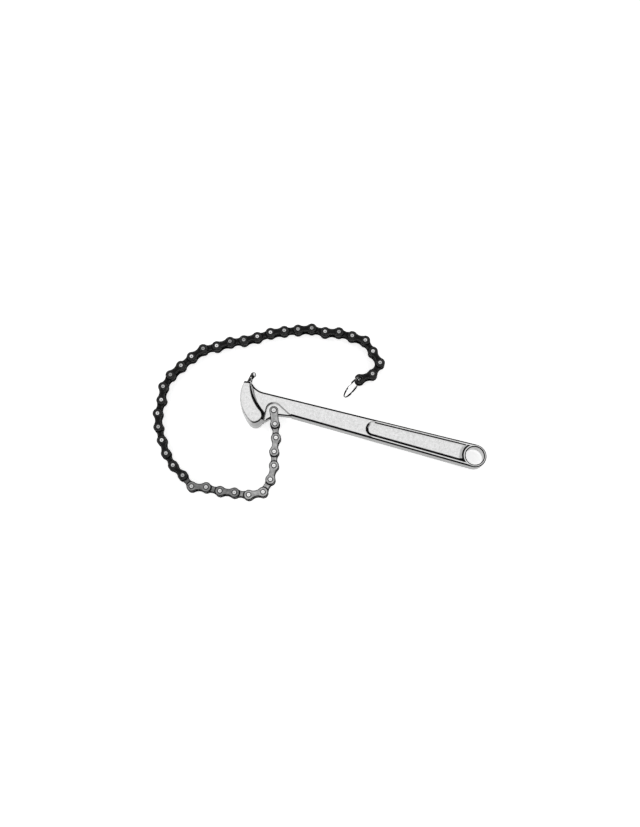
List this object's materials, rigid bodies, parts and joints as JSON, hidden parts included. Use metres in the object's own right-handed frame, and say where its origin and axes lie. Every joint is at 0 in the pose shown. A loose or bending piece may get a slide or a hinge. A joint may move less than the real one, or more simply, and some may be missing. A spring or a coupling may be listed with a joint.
{
  "type": "chain oil filter wrench",
  "caption": "Forged chain wrench: a flat handle with a claw pad and hook, a roller chain on a pivot that wraps an oil filter, and a split ring.",
  "frame": {"origin": "centre of the hanging eye, in the middle of the handle's thickness", "axes": "+X along the handle away from the head, +Z along the eye and every chain pin, +Y towards the hook"},
  "size_m": [0.2997, 0.1821, 0.023],
  "materials": {
    "handle_chrome": "satin chrome plate over forged steel",
    "connecting_steel": "grey steel, tumbled",
    "rivet_steel": "bright steel, ends set over",
    "pin_steel": "bright steel, ends set over",
    "near_chain_steel": "grey steel, lightly oiled",
    "chain_steel": "blackened steel, oiled",
    "ring_steel": "bright nickel plate"
  },
  "bodies": {
    "handle": {"forged_handle": "handle_chrome"},
    "link_01": {"pivot_rivet": "rivet_steel", "upper_connecting_plate": "connecting_steel", "lower_connecting_plate": "connecting_steel", "connecting_pin": "pin_steel"},
    "link_02": {"inner_link_02": "near_chain_steel"},
    "link_03": {"outer_link_03": "near_chain_steel"},
    "link_04": {"inner_link_04": "near_chain_steel"},
    "link_05": {"outer_link_05": "near_chain_steel"},
    "link_06": {"inner_link_06": "near_chain_steel"},
    "link_07": {"outer_link_07": "near_chain_steel"},
    "link_08": {"inner_link_08": "near_chain_steel"},
    "link_09": {"outer_link_09": "near_chain_steel"},
    "link_10": {"inner_link_10": "near_chain_steel"},
    "link_11": {"outer_link_11": "chain_steel"},
    "link_12": {"inner_link_12": "chain_steel"},
    "link_13": {"outer_link_13": "chain_steel"},
    "link_14": {"inner_link_14": "chain_steel"},
    "link_15": {"outer_link_15": "chain_steel"},
    "link_16": {"inner_link_16": "chain_steel"},
    "link_17": {"outer_link_17": "chain_steel"},
    "link_18": {"inner_link_18": "chain_steel"},
    "link_19": {"outer_link_19": "chain_steel"},
    "link_20": {"inner_link_20": "chain_steel"},
    "link_21": {"outer_link_21": "chain_steel"},
    "link_22": {"inner_link_22": "chain_steel"},
    "link_23": {"outer_link_23": "chain_steel"},
    "link_24": {"inner_link_24": "chain_steel"},
    "link_25": {"outer_link_25": "chain_steel"},
    "link_26": {"inner_link_26": "chain_steel"},
    "link_27": {"outer_link_27": "chain_steel"},
    "link_28": {"inner_link_28": "chain_steel"},
    "link_29": {"outer_link_29": "chain_steel"},
    "link_30": {"inner_link_30": "chain_steel"},
    "link_31": {"outer_link_31": "chain_steel"},
    "link_32": {"inner_link_32": "chain_steel"},
    "link_33": {"outer_link_33": "chain_steel"},
    "link_34": {"inner_link_34": "chain_steel"},
    "link_35": {"outer_link_35": "chain_steel"},
    "link_36": {"inner_link_36": "chain_steel"},
    "link_37": {"outer_link_37": "chain_steel"},
    "link_38": {"inner_link_38": "chain_steel"},
    "link_39": {"end_link": "chain_steel"},
    "ring": {"split_ring": "ring_steel"}
  },
  "joints": [
    {"name": "chain_pivot", "type": "hinge", "parent": "handle", "child": "link_01", "pos_m": [-0.1824, -0.0064, 0], "axis": [0, 0, 1], "range_deg": [-8, 35]},
    {"name": "pin_joint_02", "type": "hinge", "parent": "link_01", "child": "link_02", "pos_m": [-0.17785, -0.01826, 0], "axis": [0, 0, -1], "range_deg": [-35, 9]},
    {"name": "pin_joint_03", "type": "hinge", "parent": "link_02", "child": "link_03", "pos_m": [-0.17351, -0.03019, 0], "axis": [0, 0, 1], "range_deg": [-9, 35]},
    {"name": "pin_joint_04", "type": "hinge", "parent": "link_03", "child": "link_04", "pos_m": [-0.17152, -0.04273, 0], "axis": [0, 0, -1], "range_deg": [-35, 9]},
    {"name": "pin_joint_05", "type": "hinge", "parent": "link_04", "child": "link_05", "pos_m": [-0.16823, -0.055, 0], "axis": [0, 0, 1], "range_deg": [-9, 35]},
    {"name": "pin_joint_06", "type": "hinge", "parent": "link_05", "child": "link_06", "pos_m": [-0.16779, -0.06769, 0], "axis": [0, 0, -1], "range_deg": [-35, 9]},
    {"name": "pin_joint_07", "type": "hinge", "parent": "link_06", "child": "link_07", "pos_m": [-0.17086, -0.08002, 0], "axis": [0, 0, 1], "range_deg": [-8, 35]},
    {"name": "pin_joint_08", "type": "hinge", "parent": "link_07", "child": "link_08", "pos_m": [-0.18218, -0.08578, 0], "axis": [0, 0, -1], "range_deg": [-35, 7]},
    {"name": "pin_joint_09", "type": "hinge", "parent": "link_08", "child": "link_09", "pos_m": [-0.19481, -0.08711, 0], "axis": [0, 0, 1], "range_deg": [-6, 35]},
    {"name": "pin_joint_10", "type": "hinge", "parent": "link_09", "child": "link_10", "pos_m": [-0.20735, -0.0891, 0], "axis": [0, 0, -1], "range_deg": [-35, 5]},
    {"name": "pin_joint_11", "type": "hinge", "parent": "link_10", "child": "link_11", "pos_m": [-0.22005, -0.0891, 0], "axis": [0, 0, 1], "range_deg": [-4.5, 35]},
    {"name": "pin_joint_12", "type": "hinge", "parent": "link_11", "child": "link_12", "pos_m": [-0.23247, -0.09174, 0], "axis": [0, 0, -1], "range_deg": [-35, 4]},
    {"name": "pin_joint_13", "type": "hinge", "parent": "link_12", "child": "link_13", "pos_m": [-0.24288, -0.08445, 0], "axis": [0, 0, 1], "range_deg": [-3.5, 35]},
    {"name": "pin_joint_14", "type": "hinge", "parent": "link_13", "child": "link_14", "pos_m": [-0.25387, -0.0781, 0], "axis": [0, 0, -1], "range_deg": [-35, 3.5]},
    {"name": "pin_joint_15", "type": "hinge", "parent": "link_14", "child": "link_15", "pos_m": [-0.26316, -0.06944, 0], "axis": [0, 0, 1], "range_deg": [-3.5, 35]},
    {"name": "pin_joint_16", "type": "hinge", "parent": "link_15", "child": "link_16", "pos_m": [-0.27045, -0.05904, 0], "axis": [0, 0, -1], "range_deg": [-35, 3]},
    {"name": "pin_joint_17", "type": "hinge", "parent": "link_16", "child": "link_17", "pos_m": [-0.27718, -0.04827, 0], "axis": [0, 0, 1], "range_deg": [-3, 35]},
    {"name": "pin_joint_18", "type": "hinge", "parent": "link_17", "child": "link_18", "pos_m": [-0.28173, -0.03641, 0], "axis": [0, 0, -1], "range_deg": [-35, 3]},
    {"name": "pin_joint_19", "type": "hinge", "parent": "link_18", "child": "link_19", "pos_m": [-0.28239, -0.02373, 0], "axis": [0, 0, 1], "range_deg": [-3, 35]},
    {"name": "pin_joint_20", "type": "hinge", "parent": "link_19", "child": "link_20", "pos_m": [-0.28482, -0.01126, 0], "axis": [0, 0, -1], "range_deg": [-35, 3]},
    {"name": "pin_joint_21", "type": "hinge", "parent": "link_20", "child": "link_21", "pos_m": [-0.28174, 0.00106, 0], "axis": [0, 0, 1], "range_deg": [-3, 35]},
    {"name": "pin_joint_22", "type": "hinge", "parent": "link_21", "child": "link_22", "pos_m": [-0.27539, 0.01206, 0], "axis": [0, 0, -1], "range_deg": [-35, 3]},
    {"name": "pin_joint_23", "type": "hinge", "parent": "link_22", "child": "link_23", "pos_m": [-0.26866, 0.02283, 0], "axis": [0, 0, 1], "range_deg": [-3.5, 35]},
    {"name": "pin_joint_24", "type": "hinge", "parent": "link_23", "child": "link_24", "pos_m": [-0.26085, 0.03284, 0], "axis": [0, 0, -1], "range_deg": [-35, 3.5]},
    {"name": "pin_joint_25", "type": "hinge", "parent": "link_24", "child": "link_25", "pos_m": [-0.24963, 0.0388, 0], "axis": [0, 0, 1], "range_deg": [-4, 35]},
    {"name": "pin_joint_26", "type": "hinge", "parent": "link_25", "child": "link_26", "pos_m": [-0.23923, 0.04608, 0], "axis": [0, 0, -1], "range_deg": [-35, 4.5]},
    {"name": "pin_joint_27", "type": "hinge", "parent": "link_26", "child": "link_27", "pos_m": [-0.22745, 0.05084, 0], "axis": [0, 0, 1], "range_deg": [-5, 35]},
    {"name": "pin_joint_28", "type": "hinge", "parent": "link_27", "child": "link_28", "pos_m": [-0.21645, 0.05719, 0], "axis": [0, 0, -1], "range_deg": [-35, 6]},
    {"name": "pin_joint_29", "type": "hinge", "parent": "link_28", "child": "link_29", "pos_m": [-0.20593, 0.06429, 0], "axis": [0, 0, 1], "range_deg": [-7, 35]},
    {"name": "pin_joint_30", "type": "hinge", "parent": "link_29", "child": "link_30", "pos_m": [-0.19432, 0.06946, 0], "axis": [0, 0, -1], "range_deg": [-35, 9]},
    {"name": "pin_joint_31", "type": "hinge", "parent": "link_30", "child": "link_31", "pos_m": [-0.18247, 0.07401, 0], "axis": [0, 0, 1], "range_deg": [-11, 35]},
    {"name": "pin_joint_32", "type": "hinge", "parent": "link_31", "child": "link_32", "pos_m": [-0.17053, 0.07835, 0], "axis": [0, 0, -1], "range_deg": [-35, 18]},
    {"name": "pin_joint_33", "type": "hinge", "parent": "link_32", "child": "link_33", "pos_m": [-0.15783, 0.07835, 0], "axis": [0, 0, 1], "range_deg": [-65, 100]},
    {"name": "pin_joint_34", "type": "hinge", "parent": "link_33", "child": "link_34", "pos_m": [-0.14551, 0.08143, 0], "axis": [0, 0, -1], "range_deg": [-100, 65]},
    {"name": "pin_joint_35", "type": "hinge", "parent": "link_34", "child": "link_35", "pos_m": [-0.13282, 0.08098, 0], "axis": [0, 0, 1], "range_deg": [-65, 100]},
    {"name": "pin_joint_36", "type": "hinge", "parent": "link_35", "child": "link_36", "pos_m": [-0.12017, 0.07988, 0], "axis": [0, 0, -1], "range_deg": [-100, 65]},
    {"name": "pin_joint_37", "type": "hinge", "parent": "link_36", "child": "link_37", "pos_m": [-0.11073, 0.07138, 0], "axis": [0, 0, 1], "range_deg": [-65, 100]},
    {"name": "pin_joint_38", "type": "hinge", "parent": "link_37", "child": "link_38", "pos_m": [-0.10175, 0.0624, 0], "axis": [0, 0, -1], "range_deg": [-100, 65]},
    {"name": "pin_joint_39", "type": "hinge", "parent": "link_38", "child": "link_39", "pos_m": [-0.10567, 0.05032, 0], "axis": [0, 0, 1], "range_deg": [-65, 100]},
    {"name": "ring_swing", "type": "hinge", "parent": "link_39", "child": "ring", "pos_m": [-0.11582, 0.04268, 0], "axis": [0, 0, 1], "range_deg": [-60, 60]}
  ]
}
